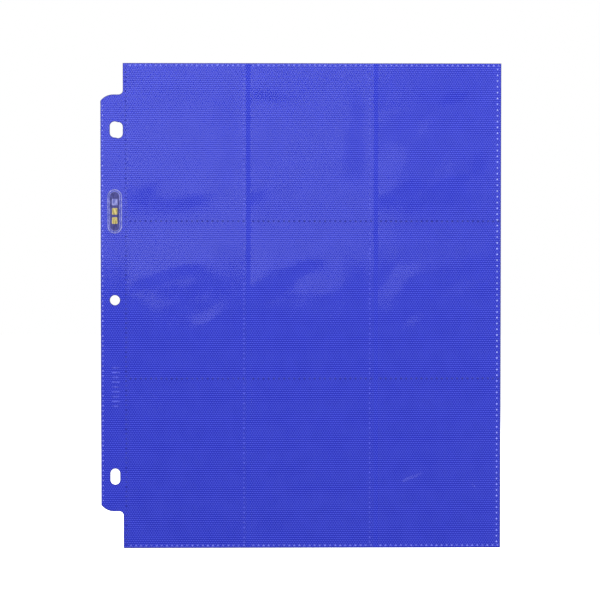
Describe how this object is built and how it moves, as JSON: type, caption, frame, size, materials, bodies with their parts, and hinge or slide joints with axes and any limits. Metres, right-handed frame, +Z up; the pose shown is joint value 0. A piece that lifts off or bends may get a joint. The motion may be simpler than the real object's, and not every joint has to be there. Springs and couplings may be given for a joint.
{
  "type": "trading card binder page",
  "caption": "Side-loading clear-pocket card page with a blue divider sheet and a binding tab punched for three-ring binders.",
  "frame": {"origin": "centre of the middle ring hole, in the middle of the sheet's thickness", "axes": "+X away from the binding across the page, +Z up the page, Y through its thickness with the front face towards -Y"},
  "size_m": [0.249, 0.0012, 0.3018],
  "materials": {
    "blue_sheet": "embossed polypropylene sheet with rows of fine raised dots, soft sheen",
    "clear_film": "clear flexible polypropylene film, glossy with slight ripples",
    "badge_foil": "thin metallic foil print, silver with a lavender cast"
  },
  "bodies": {
    "binding": {"binding_tab": "blue_sheet", "fold_hinge": "blue_sheet", "tab_film_front": "clear_film", "tab_film_back": "clear_film", "printed_badge": "badge_foil"},
    "page": {"divider_sheet": "blue_sheet", "front_fold_seam": "clear_film", "back_fold_seam": "clear_film", "front_strip_1_welds": "clear_film", "front_strip_2_welds": "clear_film", "front_strip_3_welds": "clear_film", "back_strip_1_welds": "clear_film", "back_strip_2_welds": "clear_film", "back_strip_3_welds": "clear_film"},
    "front_top_1_film": {"front_pocket_top_1": "clear_film"},
    "front_top_2_film": {"front_pocket_top_2": "clear_film"},
    "front_top_3_film": {"front_pocket_top_3": "clear_film"},
    "front_middle_1_film": {"front_pocket_middle_1": "clear_film"},
    "front_middle_2_film": {"front_pocket_middle_2": "clear_film"},
    "front_middle_3_film": {"front_pocket_middle_3": "clear_film"},
    "front_bottom_1_film": {"front_pocket_bottom_1": "clear_film"},
    "front_bottom_2_film": {"front_pocket_bottom_2": "clear_film"},
    "front_bottom_3_film": {"front_pocket_bottom_3": "clear_film"},
    "back_top_1_film": {"back_pocket_top_1": "clear_film"},
    "back_top_2_film": {"back_pocket_top_2": "clear_film"},
    "back_top_3_film": {"back_pocket_top_3": "clear_film"},
    "back_middle_1_film": {"back_pocket_middle_1": "clear_film"},
    "back_middle_2_film": {"back_pocket_middle_2": "clear_film"},
    "back_middle_3_film": {"back_pocket_middle_3": "clear_film"},
    "back_bottom_1_film": {"back_pocket_bottom_1": "clear_film"},
    "back_bottom_2_film": {"back_pocket_bottom_2": "clear_film"},
    "back_bottom_3_film": {"back_pocket_bottom_3": "clear_film"}
  },
  "joints": [
    {"name": "page_fold", "type": "hinge", "parent": "binding", "child": "page", "pos_m": [0.0068, 0, 0], "axis": [0, 0, 1], "range_deg": [-90, 90], "stiffness_Nm_per_rad": 0.02},
    {"name": "front_top_1_mouth", "type": "hinge", "parent": "page", "child": "front_top_1_film", "pos_m": [0.0774, -0.00053, 0], "axis": [0, 0, 1], "range_deg": [0, 6], "stiffness_Nm_per_rad": 0.002},
    {"name": "front_top_2_mouth", "type": "hinge", "parent": "page", "child": "front_top_2_film", "pos_m": [0.15675, -0.00053, 0], "axis": [0, 0, 1], "range_deg": [0, 6], "stiffness_Nm_per_rad": 0.002},
    {"name": "front_top_3_mouth", "type": "hinge", "parent": "page", "child": "front_top_3_film", "pos_m": [0.2361, -0.00053, 0], "axis": [0, 0, 1], "range_deg": [0, 6], "stiffness_Nm_per_rad": 0.002},
    {"name": "front_middle_1_mouth", "type": "hinge", "parent": "page", "child": "front_middle_1_film", "pos_m": [0.0774, -0.00053, 0], "axis": [0, 0, 1], "range_deg": [0, 6], "stiffness_Nm_per_rad": 0.002},
    {"name": "front_middle_2_mouth", "type": "hinge", "parent": "page", "child": "front_middle_2_film", "pos_m": [0.15675, -0.00053, 0], "axis": [0, 0, 1], "range_deg": [0, 6], "stiffness_Nm_per_rad": 0.002},
    {"name": "front_middle_3_mouth", "type": "hinge", "parent": "page", "child": "front_middle_3_film", "pos_m": [0.2361, -0.00053, 0], "axis": [0, 0, 1], "range_deg": [0, 6], "stiffness_Nm_per_rad": 0.002},
    {"name": "front_bottom_1_mouth", "type": "hinge", "parent": "page", "child": "front_bottom_1_film", "pos_m": [0.0774, -0.00053, 0], "axis": [0, 0, 1], "range_deg": [0, 6], "stiffness_Nm_per_rad": 0.002},
    {"name": "front_bottom_2_mouth", "type": "hinge", "parent": "page", "child": "front_bottom_2_film", "pos_m": [0.15675, -0.00053, 0], "axis": [0, 0, 1], "range_deg": [0, 6], "stiffness_Nm_per_rad": 0.002},
    {"name": "front_bottom_3_mouth", "type": "hinge", "parent": "page", "child": "front_bottom_3_film", "pos_m": [0.2361, -0.00053, 0], "axis": [0, 0, 1], "range_deg": [0, 6], "stiffness_Nm_per_rad": 0.002},
    {"name": "back_top_1_mouth", "type": "hinge", "parent": "page", "child": "back_top_1_film", "pos_m": [0.0774, 0.00053, 0], "axis": [0, 0, -1], "range_deg": [0, 6], "stiffness_Nm_per_rad": 0.002},
    {"name": "back_top_2_mouth", "type": "hinge", "parent": "page", "child": "back_top_2_film", "pos_m": [0.15675, 0.00053, 0], "axis": [0, 0, -1], "range_deg": [0, 6], "stiffness_Nm_per_rad": 0.002},
    {"name": "back_top_3_mouth", "type": "hinge", "parent": "page", "child": "back_top_3_film", "pos_m": [0.2361, 0.00053, 0], "axis": [0, 0, -1], "range_deg": [0, 6], "stiffness_Nm_per_rad": 0.002},
    {"name": "back_middle_1_mouth", "type": "hinge", "parent": "page", "child": "back_middle_1_film", "pos_m": [0.0774, 0.00053, 0], "axis": [0, 0, -1], "range_deg": [0, 6], "stiffness_Nm_per_rad": 0.002},
    {"name": "back_middle_2_mouth", "type": "hinge", "parent": "page", "child": "back_middle_2_film", "pos_m": [0.15675, 0.00053, 0], "axis": [0, 0, -1], "range_deg": [0, 6], "stiffness_Nm_per_rad": 0.002},
    {"name": "back_middle_3_mouth", "type": "hinge", "parent": "page", "child": "back_middle_3_film", "pos_m": [0.2361, 0.00053, 0], "axis": [0, 0, -1], "range_deg": [0, 6], "stiffness_Nm_per_rad": 0.002},
    {"name": "back_bottom_1_mouth", "type": "hinge", "parent": "page", "child": "back_bottom_1_film", "pos_m": [0.0774, 0.00053, 0], "axis": [0, 0, -1], "range_deg": [0, 6], "stiffness_Nm_per_rad": 0.002},
    {"name": "back_bottom_2_mouth", "type": "hinge", "parent": "page", "child": "back_bottom_2_film", "pos_m": [0.15675, 0.00053, 0], "axis": [0, 0, -1], "range_deg": [0, 6], "stiffness_Nm_per_rad": 0.002},
    {"name": "back_bottom_3_mouth", "type": "hinge", "parent": "page", "child": "back_bottom_3_film", "pos_m": [0.2361, 0.00053, 0], "axis": [0, 0, -1], "range_deg": [0, 6], "stiffness_Nm_per_rad": 0.002}
  ]
}
